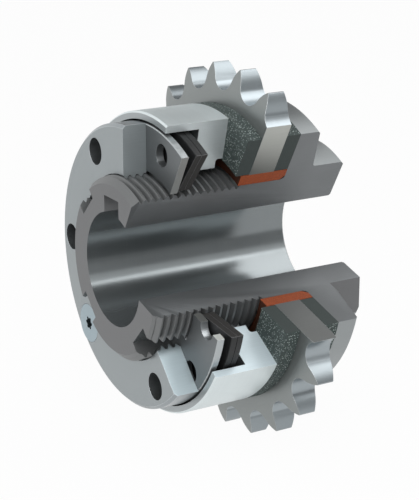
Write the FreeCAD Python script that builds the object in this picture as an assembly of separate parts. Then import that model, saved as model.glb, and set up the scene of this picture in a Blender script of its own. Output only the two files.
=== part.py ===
import FreeCAD, Part
import math
import os

from FreeCAD import Placement, Rotation, Vector

# Sectioned friction torque limiter with a chain sprocket, in millimetres.
# The shaft axis is Y. The nut end of the hub is at Y = 0 and the flange end is at +Y, with +Z up.
# Angles are counted round the axis from +X towards +Z. The section window faces +X.

# Section window: each piece is cut away from its lower angle up to its upper angle
HUB_CUT = (60.0, -15.0)
RING_CUT = (75.0, -30.0)
NUT_CUT = (90.0, -45.0)

# Hub
hub_length = 92.8
bore_radius = 22.5
bore_chamfer = 0.7
key_width = 12.0
key_rise = 5.9
seat_radius = 36.15
nose_chamfer = 2.75
seat_fillet = 1.8
flange_front = 66.0
flange_rim_width = 9.0
flange_cone_depth = 3.0
flange_edge = 0.8
collar_rise = 4.85
collar_fillet = 1.2
collar_chamfer = 1.2
collar_flat_depth = 7.5
collar_flat_length = 14.6

# External thread of the hub, right-handed
threads_per_inch = 8
thread_depth = 1.75
thread_root_flat = 0.3
thread_half_angle = 30.0
thread_first_root = 3.65
thread_clearance = 0.12
thread_tip_gap = 0.25
thread_run_out = 0.2

# Locking slots along the thread, and the lugs that stand in them
slot_width = 12.0
slot_depth = 7.35
slot_angles = (135.0, 225.0, 315.0)
slot_end_gap = 1.3
lug_side_gap = 0.3
lug_floor_gap = 0.8

# Adjusting nut
nut_front = 5.3
nut_thickness = 10.0
nut_rim_wall = 3.0
nut_chamfer = 1.2
nut_bore_chamfer = 1.9
spanner_pitch_radius = 47.4
spanner_hole_radius = 5.4
spanner_hole_angles = (120.0, 180.0, 300.0)

# Lock screw through the nut into the lock washer
screw_angle = 225.0
screw_rim_wall = 0.4
screw_head_land = 0.5
screw_shank_radius = 4.0
screw_gap = 0.12
screw_tip_chamfer = 0.8
socket_depth = 2.6
socket_core_radius = 2.0
socket_lobe_radius = 0.75
socket_lobes = 6

# Lock washer
washer_thickness = 3.05
washer_rim_step = 0.3
washer_edge = 0.35
washer_bore_gap = 1.1
washer_hole_radius = 4.4
washer_holes = 12
washer_first_hole = 15.0

# Disc springs, nested the same way round
spring_count = 2
spring_bore_gap = 2.15
spring_rim_gap = 0.9
spring_thickness = 2.55
spring_cone = 2.95
spring_gap = 0.05
spring_edge = 0.3

# Pressure ring
ring_front_gap = 0.4
ring_skirt_gap = 0.7
ring_skirt_wall = 3.0
ring_groove_depth = 3.65
ring_land_step = 4.1
ring_bore_gap = 2.55
ring_edge = 0.7
ring_relief_gap = 1.26
ring_relief_depth = 3.0
ring_relief_fillet = 1.2
ring_lug_length = 9.0

# Friction linings and bushing
lining_thickness = 6.2
lining_bore_gap = 0.3
bushing_wall = 5.05
bushing_running_gap = 0.04
bushing_inset = 2.6
bushing_seat_lead = 0.2
bushing_chamfer = 2.0
bushing_edge = 0.5

# Sprocket
sprocket_teeth = 23
sprocket_plate = 11.1
tooth_tip_radius = 75.0
tooth_depth = 9.9
tooth_gap_arc = 6.6
tooth_gap_half_angle = 65.0
tooth_flank_bulge = 0.45
tooth_tip_flat = 0.5
tooth_side_reach = 12.5
tooth_side_inset = 2.1
sprocket_phase = 129.15

# Worked out from the sizes above: radii
INCH = 25.4
CLEAR = 1.0
thread_pitch = INCH / threads_per_inch
thread_root_radius = seat_radius - thread_depth
nose_radius = seat_radius - nose_chamfer
key_top = bore_radius + key_rise
slot_floor = seat_radius - slot_depth
collar_radius = seat_radius + collar_rise
nut_radius = spanner_pitch_radius + spanner_hole_radius + nut_rim_wall
nut_bore_radius = thread_root_radius + thread_tip_gap
screw_head_radius = nut_radius - screw_rim_wall - spanner_pitch_radius
washer_radius = nut_radius - washer_rim_step
washer_bore_radius = seat_radius + washer_bore_gap
ring_skirt_radius = nut_radius + ring_skirt_gap
spring_inner_radius = seat_radius + spring_bore_gap
spring_outer_radius = ring_skirt_radius - spring_rim_gap
ring_land_radius = spring_outer_radius - ring_land_step
ring_bore_radius = seat_radius + ring_bore_gap
flange_radius = ring_skirt_radius + ring_skirt_wall
bushing_bore_radius = seat_radius + bushing_running_gap
bushing_radius = bushing_bore_radius + bushing_wall
lining_bore_radius = bushing_radius + lining_bore_gap
ring_relief_radius = bushing_radius + ring_relief_gap
tooth_root_radius = tooth_tip_radius - tooth_depth
tooth_side_start = tooth_tip_radius - tooth_side_reach

# Worked out from the sizes above: places along the axis
nut_back = nut_front + nut_thickness
washer_back = nut_back + washer_thickness
spring_stack = spring_count * spring_thickness + (spring_count - 1) * spring_gap
ring_skirt_front = nut_back + ring_front_gap
ring_cavity_floor = washer_back + spring_stack + spring_cone + ring_groove_depth
rear_lining_front = flange_front - lining_thickness
sprocket_front = rear_lining_front - sprocket_plate
front_lining_front = sprocket_front - lining_thickness
ring_relief_floor = front_lining_front - ring_relief_depth
slot_end = ring_relief_floor + slot_end_gap
bushing_front = front_lining_front + bushing_inset
seat_start = bushing_front + bushing_seat_lead
collar_flat_start = hub_length - collar_flat_length


def at(radius, angle, y):
    """A point given by its radius, its angle round the axis and its place along the axis."""
    turn = math.radians(angle)
    return Vector(radius * math.cos(turn), y, radius * math.sin(turn))


def outline(corners):
    """A closed wire through (radius, y, rounding) corners in the plane of +X and the axis."""
    edges = []
    starts = []
    ends = []
    count = len(corners)
    for index, (radius, y, rounding) in enumerate(corners):
        here = Vector(radius, y, 0)
        back = Vector(*corners[index - 1][:2], 0) - here
        ahead = Vector(*corners[(index + 1) % count][:2], 0) - here
        back.normalize()
        ahead.normalize()
        half = back.getAngle(ahead) / 2
        reach = rounding / math.tan(half)
        start = here + back * reach
        end = here + ahead * reach
        if rounding > 0:
            middle = back + ahead
            middle.normalize()
            top = here + middle * (rounding / math.sin(half) - rounding)
            edges.append(Part.Arc(start, top, end).toShape())
        starts.append(start)
        ends.append(end)
    for index in range(count):
        edges.append(Part.LineSegment(ends[index], starts[(index + 1) % count]).toShape())
    return Part.Wire(Part.__sortEdges__(edges))


def turned(corners, cut):
    """The outline revolved round the axis, except across the section window."""
    upper, lower = cut
    face = Part.Face(outline(corners))
    face.rotate(Vector(0, 0, 0), Vector(0, -1, 0), upper)
    return face.revolve(Vector(0, 0, 0), Vector(0, -1, 0), 360 - (upper - lower))


def rod(radius, angle, pitch_radius, start, end):
    """A cylinder beside the axis and parallel to it."""
    return Part.makeCylinder(radius, end - start, at(pitch_radius, angle, start), Vector(0, 1, 0))


def radial_block(width, inner, outer, start, end, angle):
    """A block that stands out from the axis along one angle."""
    block = Part.makeBox(outer - inner, end - start, width, Vector(inner, start, -width / 2))
    block.rotate(Vector(0, 0, 0), Vector(0, -1, 0), angle)
    return block


def thread_tool(section, first_y, turns):
    """A right-handed helical sweep of (radius, y) points, which pass angle zero at first_y."""
    path = Part.makeHelix(thread_pitch, thread_pitch * turns, seat_radius)
    points = [Vector(radius, 0, y) for radius, y in section]
    profile = Part.makePolygon(points + points[:1])
    sweep = Part.BRepOffsetAPI.MakePipeShell(Part.Wire(path.Edges))
    sweep.setFrenetMode(True)
    sweep.add(profile)
    sweep.build()
    sweep.makeSolid()
    tool = sweep.shape()
    tool.Placement = Placement(Vector(0, first_y, 0), Rotation(Vector(1, 0, 0), -90))
    return tool


def root_at_zero_angle():
    """Where a thread root crosses angle zero, one turn before the first full root."""
    return thread_first_root + thread_pitch * HUB_CUT[0] / 360 - thread_pitch


def hub_thread_tool():
    """The V groove that is cut along the hub, up to the bushing seat."""
    slope = math.tan(math.radians(thread_half_angle))
    open_radius = seat_radius + thread_tip_gap
    root_half = thread_root_flat / 2
    open_half = root_half + (open_radius - thread_root_radius) * slope
    section = [
        (thread_root_radius, -root_half),
        (thread_root_radius, root_half),
        (open_radius, open_half),
        (open_radius, -open_half),
    ]
    start = root_at_zero_angle()
    turns = (seat_start - start) / thread_pitch + thread_run_out
    return thread_tool(section, start, turns)


def nut_thread_tool():
    """The nut's groove within its thickness. It clears each ridge of the hub by thread_clearance."""
    slope = math.tan(math.radians(thread_half_angle))
    side = thread_clearance / math.cos(math.radians(thread_half_angle))
    groove_radius = seat_radius + thread_tip_gap
    open_radius = nut_bore_radius - thread_tip_gap / 2
    crest_half = (thread_pitch - thread_root_flat) / 2 - thread_depth * slope
    floor_half = crest_half - thread_tip_gap * slope + side
    open_half = crest_half + (seat_radius - open_radius) * slope + side
    section = [
        (groove_radius, -floor_half),
        (groove_radius, floor_half),
        (open_radius, open_half),
        (open_radius, -open_half),
    ]
    start = root_at_zero_angle() + thread_pitch / 2
    lead = math.floor((nut_front - start) / thread_pitch) - 1
    turns = math.ceil(nut_thickness / thread_pitch) + 3
    sweep = thread_tool(section, start + lead * thread_pitch, turns)
    return sweep.common(rod(nut_radius, 0, 0, nut_front, nut_back))


def hub():
    """Hub: sleeve with an outside thread, bushing seat, flange with a coned back, and collar."""
    rim_back = flange_front + flange_rim_width
    cone_foot = rim_back + flange_cone_depth
    body = turned(
        [
            (bore_radius, 0, 0),
            (nose_radius, 0, 0),
            (seat_radius, nose_chamfer, 0),
            (seat_radius, flange_front, seat_fillet),
            (flange_radius, flange_front, 0),
            (flange_radius, rim_back - flange_edge, 0),
            (flange_radius - flange_edge, rim_back, 0),
            (collar_radius, cone_foot, collar_fillet),
            (collar_radius, hub_length - collar_chamfer, 0),
            (collar_radius - collar_chamfer, hub_length, 0),
            (bore_radius + bore_chamfer, hub_length, 0),
            (bore_radius, hub_length - bore_chamfer, 0),
        ],
        HUB_CUT,
    )
    body = body.cut(hub_thread_tool())
    tools = [keyway()]
    for angle in slot_angles:
        tools.append(radial_block(slot_width, slot_floor, flange_radius, -CLEAR, slot_end, angle))
    for angle in (0.0, 180.0):
        tools.append(collar_flat(angle))
    for tool in tools:
        body = body.cut(tool)
    return body


def keyway():
    """Key slot along the top of the bore."""
    length = hub_length + 2 * CLEAR
    return Part.makeBox(key_width, length, key_top, Vector(-key_width / 2, -CLEAR, 0))


def collar_flat(angle):
    """Stock that is milled off one side of the collar, for a holding spanner."""
    reach = flange_radius + CLEAR
    floor = collar_radius - collar_flat_depth
    start = collar_flat_start
    return radial_block(2 * reach, floor, reach, start, hub_length + CLEAR, angle)


def adjusting_nut():
    """Ring nut with spanner holes, a countersunk hole for the lock screw and an inside thread."""
    body = turned(
        [
            (nut_bore_radius + nut_bore_chamfer, nut_front, 0),
            (nut_radius - nut_chamfer, nut_front, 0),
            (nut_radius, nut_front + nut_chamfer, 0),
            (nut_radius, nut_back, 0),
            (nut_bore_radius + nut_bore_chamfer, nut_back, 0),
            (nut_bore_radius, nut_back - nut_bore_chamfer, 0),
            (nut_bore_radius, nut_front + nut_bore_chamfer, 0),
        ],
        NUT_CUT,
    )
    body = body.cut(nut_thread_tool())
    for angle in spanner_hole_angles:
        start = nut_front - CLEAR
        hole = rod(spanner_hole_radius, angle, spanner_pitch_radius, start, nut_back + CLEAR)
        body = body.cut(hole)
    return body.cut(screw_blank(screw_gap, nut_front - CLEAR, nut_back + CLEAR))


def screw_blank(gap, front, tip):
    """Countersunk screw shape, grown by a gap, on the screw's own axis in the nut."""
    head = screw_head_radius + gap
    shank = screw_shank_radius + gap
    foot = nut_front + screw_head_land + head - shank
    points = [
        Vector(0, front, 0),
        Vector(head, front, 0),
        Vector(head, nut_front + screw_head_land, 0),
        Vector(shank, foot, 0),
        Vector(shank, tip, 0),
        Vector(0, tip, 0),
    ]
    face = Part.Face(Part.makePolygon(points + points[:1]))
    blank = face.revolve(Vector(0, 0, 0), Vector(0, 1, 0), 360)
    blank.translate(at(spanner_pitch_radius, screw_angle, 0))
    return blank


def lock_screw():
    """Countersunk screw with a six-lobe socket. Its tip stands in a hole of the lock washer."""
    body = screw_blank(0, nut_front, washer_back)
    axis = at(spanner_pitch_radius, screw_angle, 0)
    deep = nut_front + socket_depth
    socket = Part.makeCylinder(socket_core_radius, deep, axis, Vector(0, 1, 0))
    for lobe in range(socket_lobes):
        offset = at(socket_core_radius, 360 * lobe / socket_lobes, 0)
        post = Part.makeCylinder(socket_lobe_radius, deep, axis + offset, Vector(0, 1, 0))
        socket = socket.fuse(post)
    tip = max(body.Faces, key=lambda face: face.CenterOfMass.y)
    body = body.makeChamfer(screw_tip_chamfer, tip.Edges)
    return body.cut(socket)


def lug(inner_of, start, end, angle):
    """Key that reaches from a ring into one slot of the hub."""
    width = slot_width - 2 * lug_side_gap
    return radial_block(width, slot_floor + lug_floor_gap, inner_of + CLEAR, start, end, angle)


def lock_washer():
    """Plain washer keyed in the hub's slots, with a circle of holes for the lock screw."""
    body = turned(
        [
            (washer_bore_radius, nut_back, 0),
            (washer_radius, nut_back, washer_edge),
            (washer_radius, washer_back, washer_edge),
            (washer_bore_radius, washer_back, 0),
        ],
        HUB_CUT,
    )
    for angle in slot_angles:
        body = body.fuse(lug(washer_bore_radius, nut_back, washer_back, angle))
    start = nut_back - CLEAR
    end = washer_back + CLEAR
    for index in range(washer_holes):
        angle = washer_first_hole + 360 * index / washer_holes
        body = body.cut(rod(washer_hole_radius, angle, spanner_pitch_radius, start, end))
    return body.removeSplitter()


def disc_spring(number):
    """One coned spring washer: its inner edge stands towards the nut."""
    inner = washer_back + number * (spring_thickness + spring_gap)
    outer = inner + spring_cone
    return turned(
        [
            (spring_inner_radius, inner, spring_edge),
            (spring_outer_radius, outer, spring_edge),
            (spring_outer_radius, outer + spring_thickness, spring_edge),
            (spring_inner_radius, inner + spring_thickness, spring_edge),
        ],
        HUB_CUT,
    )


def spring_back_at(radius):
    """Place of the last spring's back face at a radius."""
    share = (radius - spring_inner_radius) / (spring_outer_radius - spring_inner_radius)
    return washer_back + spring_stack + spring_cone * share


def pressure_ring():
    """Cup that takes the spring force: skirt, thrust land, web, and lugs in the hub's slots."""
    back = front_lining_front
    land = spring_back_at(ring_land_radius) + spring_gap
    body = turned(
        [
            (ring_skirt_radius, ring_skirt_front, 0),
            (flange_radius - ring_edge, ring_skirt_front, 0),
            (flange_radius, ring_skirt_front + ring_edge, 0),
            (flange_radius, back, 0),
            (ring_relief_radius, back, 0),
            (ring_relief_radius, ring_relief_floor, ring_relief_fillet),
            (ring_bore_radius, ring_relief_floor, 0),
            (ring_bore_radius, land, 0),
            (ring_land_radius, land, 0),
            (ring_land_radius, ring_cavity_floor, 0),
            (ring_skirt_radius, ring_cavity_floor, 0),
        ],
        RING_CUT,
    )
    for angle in slot_angles:
        start = ring_relief_floor - ring_lug_length
        body = body.fuse(lug(ring_bore_radius, start, ring_relief_floor, angle))
    return body.removeSplitter()


def friction_lining(front):
    """Flat friction ring."""
    back = front + lining_thickness
    return turned(
        [
            (lining_bore_radius, front, 0),
            (flange_radius, front, 0),
            (flange_radius, back, 0),
            (lining_bore_radius, back, 0),
        ],
        HUB_CUT,
    )


def bushing():
    """Plain bushing that carries the sprocket on the hub."""
    return turned(
        [
            (bushing_bore_radius, bushing_front, 0),
            (bushing_radius - bushing_edge, bushing_front, 0),
            (bushing_radius, bushing_front + bushing_edge, 0),
            (bushing_radius, flange_front, 0),
            (bushing_bore_radius + bushing_chamfer, flange_front, 0),
            (bushing_bore_radius, flange_front - bushing_chamfer, 0),
        ],
        HUB_CUT,
    )


def tooth_gap_points(centre_angle):
    """Points of one tooth gap: tip, flank middle, seat end, seat floor, and the same mirrored."""
    half_pitch = 180.0 / sprocket_teeth
    tip_half = math.degrees(tooth_tip_flat / 2 / tooth_tip_radius)
    seat_centre = tooth_root_radius + tooth_gap_arc
    swing = math.radians(tooth_gap_half_angle)
    seat_x = tooth_gap_arc * math.sin(swing)
    seat_r = seat_centre - tooth_gap_arc * math.cos(swing)
    tip = Vector(at(tooth_tip_radius, 90 - half_pitch + tip_half, 0))
    seat_end = Vector(seat_x, 0, seat_r)
    chord = tip - seat_end
    outward = Vector(-chord.z, 0, chord.x).normalize()
    flank = seat_end + chord * 0.5 + outward * tooth_flank_bulge
    right = [tip, flank, seat_end, Vector(0, 0, tooth_root_radius)]
    left = [Vector(-point.x, 0, point.z) for point in reversed(right[:-1])]
    turn = Rotation(Vector(0, -1, 0), centre_angle - 90)
    return [turn.multVec(point) for point in right + left]


def toothed_prism(start, end):
    """Prism with the outline of all the teeth."""
    edges = []
    first = None
    last = None
    for tooth in range(sprocket_teeth):
        angle = sprocket_phase + 360.0 * (tooth + 0.5) / sprocket_teeth
        points = tooth_gap_points(angle)
        if last is not None:
            edges.append(Part.LineSegment(last, points[0]).toShape())
        else:
            first = points[0]
        for index in (0, 2, 4):
            edges.append(Part.Arc(*points[index:index + 3]).toShape())
        last = points[-1]
    edges.append(Part.LineSegment(last, first).toShape())
    face = Part.Face(Part.Wire(Part.__sortEdges__(edges)))
    prism = face.extrude(Vector(0, end - start, 0))
    prism.translate(Vector(0, start, 0))
    return prism


def side_curve_points(face_y, inward):
    """Three points of the rounded side of the teeth, from the plate to the tip."""
    reach = tooth_tip_radius + CLEAR - tooth_side_start
    full = tooth_side_inset * (reach / (reach - CLEAR)) ** 2
    middle = tooth_side_start + reach / 2
    return [
        Vector(tooth_side_start, face_y, 0),
        Vector(middle, face_y + inward * full / 4, 0),
        Vector(tooth_side_start + reach, face_y + inward * full, 0),
    ]


def sprocket_blank():
    """Turned blank: flat plate with rounded sides towards the tooth tips."""
    back = sprocket_front + sprocket_plate
    front_side = side_curve_points(sprocket_front, 1)
    back_side = side_curve_points(back, -1)
    inner_front = Vector(bushing_radius, sprocket_front, 0)
    inner_back = Vector(bushing_radius, back, 0)
    edges = [
        Part.LineSegment(inner_front, front_side[0]).toShape(),
        Part.Arc(*front_side).toShape(),
        Part.LineSegment(front_side[2], back_side[2]).toShape(),
        Part.Arc(*reversed(back_side)).toShape(),
        Part.LineSegment(back_side[0], inner_back).toShape(),
        Part.LineSegment(inner_back, inner_front).toShape(),
    ]
    upper, lower = HUB_CUT
    face = Part.Face(Part.Wire(edges))
    face.rotate(Vector(0, 0, 0), Vector(0, -1, 0), upper)
    return face.revolve(Vector(0, 0, 0), Vector(0, -1, 0), 360 - (upper - lower))


def sprocket():
    """Chain sprocket for 19.05 mm pitch roller chain, clamped between the linings."""
    prism = toothed_prism(sprocket_front - CLEAR, sprocket_front + sprocket_plate + CLEAR)
    return sprocket_blank().common(prism)


def save(name, shape):
    """Write one piece and print its size."""
    solids = shape.Solids
    whole = solids[0] if len(solids) == 1 else shape
    whole.exportStep("parts/" + name + ".step")
    print(name, len(solids), "solids", round(whole.Volume), "mm3", whole.isValid())


save("hub", hub())
save("adjusting_nut", adjusting_nut())
save("lock_screw", lock_screw())
save("lock_washer", lock_washer())
for spring_number in range(spring_count):
    save("disc_spring_" + str(spring_number + 1), disc_spring(spring_number))
save("pressure_ring", pressure_ring())
save("front_lining", friction_lining(front_lining_front))
save("rear_lining", friction_lining(rear_lining_front))
save("bushing", bushing())
save("sprocket", sprocket())
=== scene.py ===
import math

import bmesh
import bpy
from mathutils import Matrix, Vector


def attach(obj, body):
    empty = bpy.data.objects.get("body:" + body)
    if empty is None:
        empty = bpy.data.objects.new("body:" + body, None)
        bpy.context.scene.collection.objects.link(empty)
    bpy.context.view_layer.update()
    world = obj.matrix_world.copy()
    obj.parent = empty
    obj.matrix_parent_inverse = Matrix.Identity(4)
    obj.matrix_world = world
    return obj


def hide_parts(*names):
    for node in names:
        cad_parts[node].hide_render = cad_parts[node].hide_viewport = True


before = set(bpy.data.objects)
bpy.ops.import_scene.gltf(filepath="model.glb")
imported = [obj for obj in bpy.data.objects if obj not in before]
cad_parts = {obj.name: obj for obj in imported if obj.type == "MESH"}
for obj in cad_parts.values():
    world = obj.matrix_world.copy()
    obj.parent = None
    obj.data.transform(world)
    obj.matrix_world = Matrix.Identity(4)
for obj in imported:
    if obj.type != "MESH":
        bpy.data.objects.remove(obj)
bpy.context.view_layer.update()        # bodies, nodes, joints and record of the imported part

# Sectioned friction torque limiter. Metres, shaft axis on Y, nut end at Y = 0, window towards +X.
MM = 0.001
WHITE = (1.0, 1.0, 1.0, 1.0)

# Section window of each piece, upper and lower plane, in degrees from +X towards +Z
HUB_CUT = (60.0, -15.0)
RING_CUT = (75.0, -30.0)
NUT_CUT = (90.0, -45.0)
CUT_TOLERANCE = 0.02 * MM

# Side faces within these radii are bores and holes, and the hub's thread ends here along the axis
HUB_BORE_REACH = 29.0 * MM
NUT_HOLE_REACH = 55.0 * MM
RING_CUP_REACH = 57.5 * MM
THREAD_END = 45.0 * MM

# Places across the shaft of the milled walls: keyway and collar flats
MILLED_WALLS = (6.0 * MM, 33.5 * MM)

# Edge breaks, and the angles from which an edge is broken and from which it is shaded sharp
FINE_EDGE = 0.06 * MM
EDGE = 0.12 * MM
SHARP_FROM = math.radians(28.0)
CREASE_FROM = math.radians(14.0)

# Corners nearer than this are one corner, and faces within this angle are one face
MERGE_WITHIN = 0.002 * MM
FLAT_WITHIN = math.radians(0.2)

# Parts of a normal along an axis that count as square to it: for a wall or cut, and for an end face
SQUARE = 0.999
END_FACE = 0.95

# Radii between which a section turns from painted shade to its own colour, in millimetres: shade
# painted darker towards the bore
SPROCKET_PAINTED_SHADE = (36.0, 66.0)
WASHER_PAINTED_SHADE = (42.5, 45.0)
NUT_PAINTED_SHADE = (34.5, 40.0)

# Radii between which the painted highlight on the seat of a tooth gap ends, and the painted dark line
# round it, in millimetres
PAINTED_SEAT_HIGHLIGHT_FADE = (67.5, 68.0)
PAINTED_DARK_LINE_FADE = (68.3, 69.2)

# Size of the mineral flecks in the friction compound, in millimetres
FLECK_SIZE = 0.46

# Material slots of a dressed piece; the edge breaks mostly get lighter colours than the faces beside
# them, partly as worn bright edges and partly as painted glint
FACE, SIDE, BREAK, UPPER_CUT, LOWER_CUT, INNER, THREAD = range(7)


class Term:
    """A shader socket that takes part in sums and products."""

    def __init__(self, nodes, socket):
        self.nodes = nodes
        self.socket = socket

    def math(self, operation, *others):
        return self.nodes.add("ShaderNodeMath", {"operation": operation}, [self, *others])

    def __add__(self, other):
        return self.math("ADD", other)

    def __radd__(self, other):
        return self.math("ADD", other)

    def __sub__(self, other):
        return self.math("SUBTRACT", other)

    def __rsub__(self, other):
        return self.nodes.add("ShaderNodeMath", {"operation": "SUBTRACT"}, [other, self])

    def __mul__(self, other):
        return self.math("MULTIPLY", other)

    def __rmul__(self, other):
        return self.math("MULTIPLY", other)

    def __pow__(self, other):
        return self.math("POWER", other)

    def step(self, start, end):
        """0 below start, 1 above end, smooth between them."""
        settings = {"interpolation_type": "SMOOTHSTEP"}
        return self.nodes.add("ShaderNodeMapRange", settings, [self, start, end, 0.0, 1.0])


class Nodes:
    """A node tree that is written as expressions."""

    def __init__(self, tree):
        self.tree = tree

    def add(self, kind, settings, values, output=0):
        """Any node: its settings first, then the values or links of its sockets."""
        node = self.tree.nodes.new(kind)
        for name, value in settings.items():
            setattr(node, name, value)
        pairs = values.items() if isinstance(values, dict) else enumerate(values)
        for name, value in pairs:
            self.feed(node.inputs[name], value)
        return Term(self, node.outputs[output]) if node.outputs else None

    def feed(self, socket, value):
        if isinstance(value, Term):
            self.tree.links.new(value.socket, socket)
        else:
            socket.default_value = value

    def seen_directly(self):
        """1 for what the camera, a reflection or a view through glass meets, else 0."""
        names = ("Is Camera Ray", "Is Glossy Ray", "Is Transmission Ray")
        camera, glossy, through = [self.add("ShaderNodeLightPath", {}, [], name) for name in names]
        return camera.math("MAXIMUM", glossy).math("MAXIMUM", through)


class Finish(Nodes):
    """Node tree of one surface finish, in millimetres from the piece's origin."""

    def __init__(self, name):
        self.material = bpy.data.materials.new(name)
        self.material.use_nodes = True
        super().__init__(self.material.node_tree)
        self.surface = self.tree.nodes["Principled BSDF"]
        place = self.add("ShaderNodeTexCoord", {}, [], "Object")
        self.place = self.add("ShaderNodeVectorMath", {"operation": "SCALE"}, {0: place, 3: 1 / MM})

    def set(self, **values):
        """Values or links of the surface shader, with _ for each space in a socket's name."""
        for name, value in values.items():
            value = (*value, 1.0) if isinstance(value, tuple) else value
            self.feed(self.surface.inputs[name.replace("_", " ")], value)
        return self.material

    def radius_and_y(self):
        """Radius round the shaft axis, and place along it."""
        parts = self.add("ShaderNodeSeparateXYZ", {}, [self.place]).socket.node.outputs
        x, y, z = [Term(self, part) for part in parts]
        return (x * x + z * z) ** 0.5, y

    def combine(self, x, y, z):
        return self.add("ShaderNodeCombineXYZ", {}, [x, y, z])

    def noise(self, vector, size, detail=2.0, roughness=0.5):
        """Noise from 0 to 1 with features of about the given size in millimetres."""
        values = {"Vector": vector, "Scale": 1.0 / size, "Detail": detail, "Roughness": roughness}
        return self.add("ShaderNodeTexNoise", {}, values)

    def cells(self, size, output):
        """Distance or Color output of a pattern of cells."""
        values = {"Vector": self.place, "Scale": 1.0 / size}
        return self.add("ShaderNodeTexVoronoi", {}, values, output)

    def blend(self, factor, first, second):
        """Colour between two colours or links."""
        first, second = [(*c, 1.0) if isinstance(c, tuple) else c for c in (first, second)]
        return self.add("ShaderNodeMix", {"data_type": "RGBA"}, {0: factor, 6: first, 7: second}, 2)

    def shades(self, tone, colour, spread):
        """Colour that runs from darker to lighter by the given share as the tone rises."""
        dark = tuple(channel * (1 - spread) for channel in colour)
        light = tuple(channel * (1 + spread) for channel in colour)
        return self.blend(tone, dark, light)

    def bump(self, height, depth):
        """Normal from a height in parts of a depth, in metres."""
        return self.add("ShaderNodeBump", {}, {"Strength": 1.0, "Distance": depth, "Height": height})


def turned(name, colour, roughness, metallic, spread=0.035):
    """Steel off the lathe, with faint rings in its colour, gloss and relief."""
    finish = Finish(name)
    radius, y = finish.radius_and_y()
    across = finish.combine(radius, y, 0.0)
    rings = finish.noise(across, 0.3, 1.0) * 0.5 + finish.noise(across, 2.4) * 0.5
    clouds = finish.noise(finish.place, 22.0)
    tone = (rings * 0.5 + clouds * 0.5).step(0.25, 0.75)
    return finish.set(
        Base_Color=finish.shades(tone, colour, spread),
        Roughness=roughness + (tone - 0.5) * 0.05,
        Metallic=metallic,
        Normal=finish.bump(rings, 0.0002 * MM),
    )


def milled(name, colour, roughness, metallic, painted_shade_within=None, painted_shade_share=0.42):
    """Cut face with fine straight lines across the section, with painted shade that darkens it towards
    an inner radius if given.
    """
    finish = Finish(name)
    radius, y = finish.radius_and_y()
    lines = finish.noise(finish.combine(y * 0.04, radius, 0.0), 0.35)
    clouds = finish.noise(finish.place, 18.0)
    shade = finish.shades((lines * 0.4 + clouds * 0.6).step(0.25, 0.75), colour, 0.06)
    # Painted shade: the section's colour darkens towards the inner radius, standing in for the shade
    # near the bore
    if painted_shade_within is not None:
        dark = tuple(channel * painted_shade_share for channel in colour)
        shade = finish.blend(radius.step(*painted_shade_within), dark, shade)
    return finish.set(
        Base_Color=shade,
        Roughness=roughness + (lines - 0.5) * 0.06,
        Metallic=metallic,
        Normal=finish.bump(lines, 0.0006 * MM),
    )


def polished(name, colour, roughness, metallic=0.9):
    """Smooth metal with slow changes only, as on tooth flanks and edge breaks; on edge breaks its
    lighter colours are partly worn bright edges and partly painted glint.
    """
    finish = Finish(name)
    clouds = finish.noise(finish.place, 6.0)
    return finish.set(
        Base_Color=finish.shades(clouds.step(0.3, 0.7), colour, 0.06),
        Roughness=roughness + (clouds - 0.5) * 0.04,
        Metallic=metallic,
    )


def flank_with_painted_bands(name, colour, roughness):
    """Tooth gaps with painted reflection bands: a painted highlight on the seat, a painted dark line
    round it and a greyer flank.
    """
    finish = Finish(name)
    radius, _ = finish.radius_and_y()
    clouds = finish.noise(finish.place, 6.0)
    outside_seat = radius.step(*PAINTED_SEAT_HIGHLIGHT_FADE)
    line = outside_seat * (1 - radius.step(*PAINTED_DARK_LINE_FADE))
    # Painted reflection: light and dark bands in the colour stand in for the reflections on the curved
    # tooth gaps
    tone = 0.5 + (1 - outside_seat) * 0.5 - line * 0.5 + (clouds - 0.5) * 0.15
    return finish.set(
        Base_Color=finish.shades(tone, colour, 0.2),
        Roughness=roughness + (clouds - 0.5) * 0.04,
        Metallic=0.9,
    )


def pressed_compound(name, ground, fleck, share):
    """Pressed friction compound with mineral flecks in a grainy matrix."""
    finish = Finish(name)
    grain = finish.noise(finish.place, 0.9, 4.0, 0.65)
    chosen = finish.add("ShaderNodeSeparateColor", {}, [finish.cells(FLECK_SIZE, "Color")])
    from_middle = finish.cells(FLECK_SIZE, "Distance")
    flecks = chosen.step(1.0 - share, 1.1 - share) * (1 - from_middle.step(0.2, 0.5))
    matrix = finish.shades(grain.step(0.3, 0.7), ground, 0.16)
    return finish.set(
        Base_Color=finish.blend(flecks, matrix, fleck),
        Roughness=0.78 + (grain - 0.5) * 0.2,
        Normal=finish.bump(grain + flecks * 0.5, 0.02 * MM),
    )


def dense_grain(name, colour, roughness, metallic=0.0, grain_size=0.5, spread=0.12):
    """Even, slightly grainy surface: cut compound, sintered bronze or oiled spring steel."""
    finish = Finish(name)
    grain = finish.noise(finish.place, grain_size, 3.0, 0.6)
    return finish.set(
        Base_Color=finish.shades(grain.step(0.3, 0.7), colour, spread),
        Roughness=roughness + (grain - 0.5) * 0.15,
        Metallic=metallic,
        Specular_IOR_Level=0.35,
        Normal=finish.bump(grain, 0.004 * MM),
    )


def cut_plane(face, cut):
    """Slot of the section plane that a face lies in, or None."""
    centre = face.calc_center_median()
    for angle, slot in zip(cut, (UPPER_CUT, LOWER_CUT)):
        turn = math.radians(angle)
        across = Vector((-math.sin(turn), 0.0, math.cos(turn)))
        along = Vector((math.cos(turn), 0.0, math.sin(turn)))
        flat = abs(face.normal.dot(across)) > SQUARE
        if flat and abs(centre.dot(across)) < CUT_TOLERANCE and centre.dot(along) > 0:
            return slot
    return None


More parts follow.
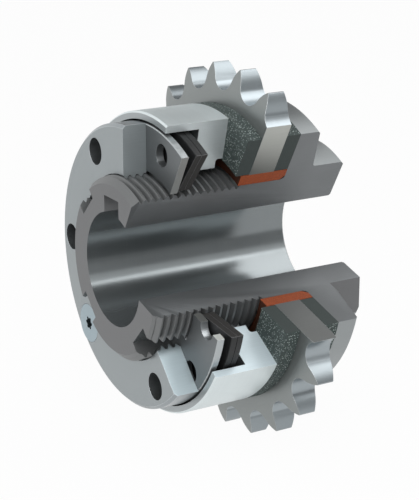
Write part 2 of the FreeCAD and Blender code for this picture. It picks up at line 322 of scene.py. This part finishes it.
def region(face, cut, inner_reach, thread_end):
    """Material slot of a face, from the way it looks and where it lies."""
    plane = cut_plane(face, cut)
    if plane is not None:
        return plane
    centre = face.calc_center_median()
    on_wall = any(abs(abs(centre.x) - wall) < CUT_TOLERANCE for wall in MILLED_WALLS)
    if on_wall and abs(face.normal.x) > SQUARE or abs(face.normal.y) > END_FACE:
        return FACE
    if math.hypot(centre.x, centre.z) < inner_reach:
        return INNER
    return THREAD if centre.y < thread_end else SIDE


def takes_break(edge):
    """True for a sharp edge that is not part of a thread."""
    if not edge.is_manifold or edge.calc_face_angle(0.0) < SHARP_FROM:
        return False
    return any(face.material_index != THREAD for face in edge.link_faces)


def dressed(node, body, cut, edge, finishes, inner_reach=0.0, thread_end=-1.0):
    """Merged copy of a node with broken edges and its own finishes."""
    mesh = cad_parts[node].data.copy()
    mesh.name = node + "_dressed"
    mesh.materials.clear()
    for finish in finishes:
        mesh.materials.append(finish)
    shape = bmesh.new()
    shape.from_mesh(mesh)
    bmesh.ops.remove_doubles(shape, verts=shape.verts, dist=MERGE_WITHIN)
    bmesh.ops.dissolve_limit(
        shape,
        angle_limit=FLAT_WITHIN,
        use_dissolve_boundaries=False,
        verts=shape.verts,
        edges=shape.edges,
        delimit=set(),
    )
    for face in shape.faces:
        face.material_index = region(face, cut, inner_reach, thread_end)
    sharp = [e for e in shape.edges if takes_break(e)]
    bmesh.ops.bevel(
        shape,
        geom=sharp,
        offset=edge,
        offset_type="OFFSET",
        segments=2,
        profile=0.5,
        affect="EDGES",
        material=BREAK,
        clamp_overlap=True,
    )
    for face in shape.faces:
        face.smooth = True
    shape.to_mesh(mesh)
    shape.free()
    mesh.set_sharp_from_angle(angle=CREASE_FROM)
    piece = bpy.data.objects.new(node + "_dressed", mesh)
    bpy.context.scene.collection.objects.link(piece)
    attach(piece, body)
    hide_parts(node)


def dress_hub():
    face = turned("hub faces", (0.155, 0.158, 0.162), 0.4, 0.6)
    side = turned("hub turned sides", (0.30, 0.32, 0.325), 0.34, 0.85, 0.02)
    edge = polished("hub edges", (0.30, 0.31, 0.32), 0.35)
    cut = milled("hub section", (0.178, 0.188, 0.194), 0.4, 0.7)
    bore = turned("honed bore", (0.235, 0.257, 0.264), 0.18, 0.72)
    thread = turned("hub thread", (0.172, 0.178, 0.18), 0.42, 0.6)
    finishes = [face, side, edge, cut, cut, bore, thread]
    dressed("hub", "hub_group", HUB_CUT, FINE_EDGE, finishes, HUB_BORE_REACH, THREAD_END)


def dress_nut():
    face = turned("nut faces", (0.31, 0.34, 0.35), 0.38, 0.7)
    side = turned("nut sides", (0.30, 0.33, 0.345), 0.3, 0.8)
    edge = polished("nut edges", (0.5, 0.54, 0.56), 0.3)
    # Lower section plane: a lighter copy of the section colour, painted light, with painted shade
    # towards the bore
    upper = milled("nut section", (0.27, 0.30, 0.31), 0.42, 0.5)
    lower = milled("nut lower section painted light", (0.53, 0.63, 0.67), 0.32, 0.3, NUT_PAINTED_SHADE, 0.35)
    inner = turned("nut holes", (0.20, 0.215, 0.22), 0.35, 0.8)
    finishes = [face, side, edge, upper, lower, inner]
    dressed("adjusting_nut", "hub_group", NUT_CUT, FINE_EDGE, finishes, NUT_HOLE_REACH)


def dress_screw():
    head = turned("screw zinc", (0.33, 0.41, 0.45), 0.32, 0.7)
    side = turned("screw sides", (0.05, 0.065, 0.07), 0.35, 0.7)
    edge = polished("screw edges", (0.40, 0.46, 0.50), 0.3)
    dressed("lock_screw", "hub_group", NUT_CUT, FINE_EDGE, [head, side, edge])


def dress_washer():
    face = turned("washer faces", (0.164, 0.176, 0.182), 0.42, 0.75)
    side = turned("washer rim", (0.42, 0.45, 0.46), 0.3, 0.8)
    edge = polished("washer edges", (0.7, 0.74, 0.75), 0.25)
    # Lower section plane: a lighter copy of the section colour, painted light, with painted shade
    # towards its inner radius
    upper = milled("washer section", (0.38, 0.39, 0.38), 0.35, 0.7)
    lower = milled("washer lower section painted light", (0.70, 0.73, 0.70), 0.35, 0.4, WASHER_PAINTED_SHADE, 0.2)
    inner = turned("washer holes", (0.30, 0.32, 0.33), 0.3, 0.85)
    finishes = [face, side, edge, upper, lower, inner]
    dressed("lock_washer", "hub_group", HUB_CUT, FINE_EDGE, finishes, NUT_HOLE_REACH)


def dress_springs():
    skin = dense_grain("spring black", (0.025, 0.026, 0.027), 0.4, 0.3, 0.35)
    cut = dense_grain("spring section", (0.032, 0.031, 0.030), 0.45, 0.2, 0.35)
    edge = polished("spring edges", (0.16, 0.16, 0.165), 0.35)
    for name in ("disc_spring_1", "disc_spring_2"):
        dressed(name, "hub_group", HUB_CUT, FINE_EDGE, [skin, skin, edge, cut, cut])


def dress_ring():
    face = turned("ring faces", (0.38, 0.41, 0.42), 0.34, 0.75)
    side = turned("ring sides", (0.70, 0.765, 0.775), 0.42, 0.75, 0.04)
    edge = polished("ring edges", (0.85, 0.89, 0.90), 0.25, 0.6)
    # Lower section plane: a lighter copy of the section colour, painted light
    upper = milled("ring section", (0.54, 0.59, 0.60), 0.38, 0.5)
    lower = milled("ring lower section painted light", (0.65, 0.755, 0.80), 0.4, 0.2)
    inner = turned("ring cup", (0.30, 0.32, 0.33), 0.35, 0.75)
    finishes = [face, side, edge, upper, lower, inner]
    dressed("pressure_ring", "hub_group", RING_CUT, EDGE, finishes, RING_CUP_REACH)


def dress_linings():
    skin = pressed_compound("friction lining", (0.046, 0.064, 0.061), (0.56, 0.64, 0.62), 0.36)
    cut = dense_grain("lining section", (0.038, 0.05, 0.048), 0.62)
    for name in ("front_lining", "rear_lining"):
        dressed(name, "hub_group", HUB_CUT, FINE_EDGE, [skin, skin, cut, cut, cut])


def dress_bushing():
    end = dense_grain("bushing end", (0.06, 0.02, 0.01), 0.5)
    side = dense_grain("bushing side", (0.34, 0.09, 0.035), 0.5)
    cut = dense_grain("bushing section", (0.28, 0.056, 0.013), 0.6, 0.0, 0.5, 0.3)
    dressed("bushing", "sprocket_group", HUB_CUT, FINE_EDGE, [end, side, cut, cut, cut])


def dress_sprocket():
    face = turned("sprocket faces", (0.25, 0.268, 0.266), 0.36, 0.75, 0.04)
    flank = flank_with_painted_bands("tooth flanks", (0.285, 0.318, 0.335), 0.34)
    edge = polished("tooth edges", (0.5, 0.53, 0.54), 0.28)
    # Upper section plane: painted shade darkening towards the bore; lower section plane: a darker copy
    # of the section colour, painted shade
    upper = milled("sprocket section", (0.41, 0.42, 0.395), 0.3, 0.85, SPROCKET_PAINTED_SHADE)
    lower = milled("sprocket lower section painted shade", (0.18, 0.187, 0.184), 0.4, 0.7)
    finishes = [face, flank, edge, upper, lower]
    dressed("sprocket", "sprocket_group", HUB_CUT, EDGE, finishes)


# Camera, found from about 160 measured points of the photograph
VIEW_AZIMUTH = math.radians(59.73)
VIEW_ELEVATION = math.radians(17.55)
CAMERA_PLACE = (0.48592, -0.24045, 0.17897)
FOCAL_MM = 106.73


def place_camera():
    data = bpy.data.cameras.new("photo_camera")
    data.sensor_width = 36.0
    data.lens = FOCAL_MM
    data.clip_start = 0.01
    data.clip_end = 50.0
    camera = bpy.data.objects.new("photo_camera", data)
    bpy.context.scene.collection.objects.link(camera)
    level = math.cos(VIEW_ELEVATION)
    across = math.sin(VIEW_AZIMUTH) * level
    along = -math.cos(VIEW_AZIMUTH) * level
    back = Vector((across, along, math.sin(VIEW_ELEVATION)))
    camera.location = CAMERA_PLACE
    camera.rotation_euler = (-back).to_track_quat("-Z", "Y").to_euler()
    bpy.context.scene.camera = camera


PART_MIDDLE = Vector((0, 0.046, 0))
FLOOR_Z = -0.0755
FLOOR_HALF = 4.0
FLOOR_GREY = (0.86, 0.86, 0.86, 1.0)
FLOOR_GLOW = 0.96

# Cards that only reflections show, which give the polished faces something darker to reflect
CARD_DISTANCE = 1.6
CARDS = {
    "grey card": {"towards": (-0.62, 0.36, 0.70), "half": 0.42, "colour": (0.2, 0.2, 0.2)},
    "pale card": {"towards": (-0.83, 0.46, 0.26), "half": 0.42, "colour": (0.64, 0.64, 0.64)},
    "low card": {"towards": (0.866, 0.48, 0.137), "half": 0.38, "colour": (0.6, 0.6, 0.6)},
}

# Light of the studio room on the part, as a share of white
ROOM_FILL = 0.5


def flat_piece(name, half, material):
    """Square sheet of the set, in its own plane."""
    shape = bmesh.new()
    bmesh.ops.create_grid(shape, x_segments=1, y_segments=1, size=half)
    mesh = bpy.data.meshes.new(name)
    shape.to_mesh(mesh)
    shape.free()
    mesh.materials.append(material)
    sheet = bpy.data.objects.new(name, mesh)
    return sheet


def lay_floor():
    """Pale floor that looks white and still darkens where the part shades it."""
    material = bpy.data.materials.new("pale floor")
    material.use_nodes = True
    material.node_tree.nodes.clear()
    nodes = Nodes(material.node_tree)
    matt = nodes.add("ShaderNodeBsdfDiffuse", {}, {"Color": FLOOR_GREY})
    glow = nodes.add("ShaderNodeEmission", {}, {"Color": WHITE, "Strength": 1.0})
    mixed = nodes.add("ShaderNodeMixShader", {}, [nodes.seen_directly() * FLOOR_GLOW, matt, glow])
    nodes.add("ShaderNodeOutputMaterial", {}, {"Surface": mixed})
    floor = flat_piece("floor", FLOOR_HALF, material)
    floor.location = (0, 0, FLOOR_Z)
    bpy.context.scene.collection.objects.link(floor)


def aim(thing, direction, distance):
    """Put a lamp or card out along a direction, facing the middle of the part."""
    towards = Vector(direction).normalized()
    thing.location = PART_MIDDLE + towards * distance
    thing.rotation_euler = (-towards).to_track_quat("-Z", "Y").to_euler()
    bpy.context.scene.collection.objects.link(thing)


def stand_cards():
    for name, card in CARDS.items():
        paint = Finish(name).set(Base_Color=card["colour"], Roughness=1.0)
        sheet = flat_piece(name, card["half"], paint)
        sheet.visible_camera = False
        aim(sheet, card["towards"], CARD_DISTANCE)


def light_room():
    """White room: full strength where it is seen, less where it lights the part."""
    world = bpy.data.worlds.new("studio")
    world.use_nodes = True
    world.node_tree.nodes.clear()
    nodes = Nodes(world.node_tree)
    strength = nodes.seen_directly() * (1 - ROOM_FILL) + ROOM_FILL
    room = nodes.add("ShaderNodeBackground", {}, {"Color": WHITE, "Strength": strength})
    nodes.add("ShaderNodeOutputWorld", {}, {"Surface": room})
    bpy.context.scene.world = world


# Soft lamps: sides in metres, and share 1 lights a facing surface as a white sky would
LAMPS = {
    "key": {"towards": (0.75, -0.35, 0.55), "distance": 1.2, "sides": (0.9, 0.9), "share": 0.33},
    "top": {"towards": (0.4, -0.15, 0.9), "distance": 1.2, "sides": (0.7, 0.7), "share": 0.15},
    "front": {"towards": (0.05, -0.97, 0.15), "distance": 1.2, "sides": (0.6, 0.45), "share": 0.2},
    "strip": {"towards": (0.66, 0.48, 0.577), "distance": 1.1, "sides": (0.45, 0.10), "share": 0.028},
    "sky panel": {"towards": (0.27, 0.48, 0.834), "distance": 1.25, "sides": (0.9, 0.9), "share": 0.33},
}

# The strip is rolled until it lies along the shaft, and the sky panel adds highlights only
STRIP_ROLL = math.radians(-22.8)
GLOSS_ONLY = "sky panel"


def hang_lamps():
    for name, lamp in LAMPS.items():
        data = bpy.data.lights.new(name, "AREA")
        data.shape = "RECTANGLE"
        data.size, data.size_y = lamp["sides"]
        data.energy = lamp["share"] * math.pi ** 2 * lamp["distance"] ** 2
        thing = bpy.data.objects.new(name, data)
        thing.visible_diffuse = name != GLOSS_ONLY
        aim(thing, lamp["towards"], lamp["distance"])
        if name == "strip":
            thing.rotation_euler.rotate_axis("Z", STRIP_ROLL)


bpy.context.scene.view_settings.view_transform = "Standard"
dress_hub()
dress_nut()
dress_screw()
dress_washer()
dress_springs()
dress_ring()
dress_linings()
dress_bushing()
dress_sprocket()
place_camera()
lay_floor()
stand_cards()
light_room()
hang_lamps()
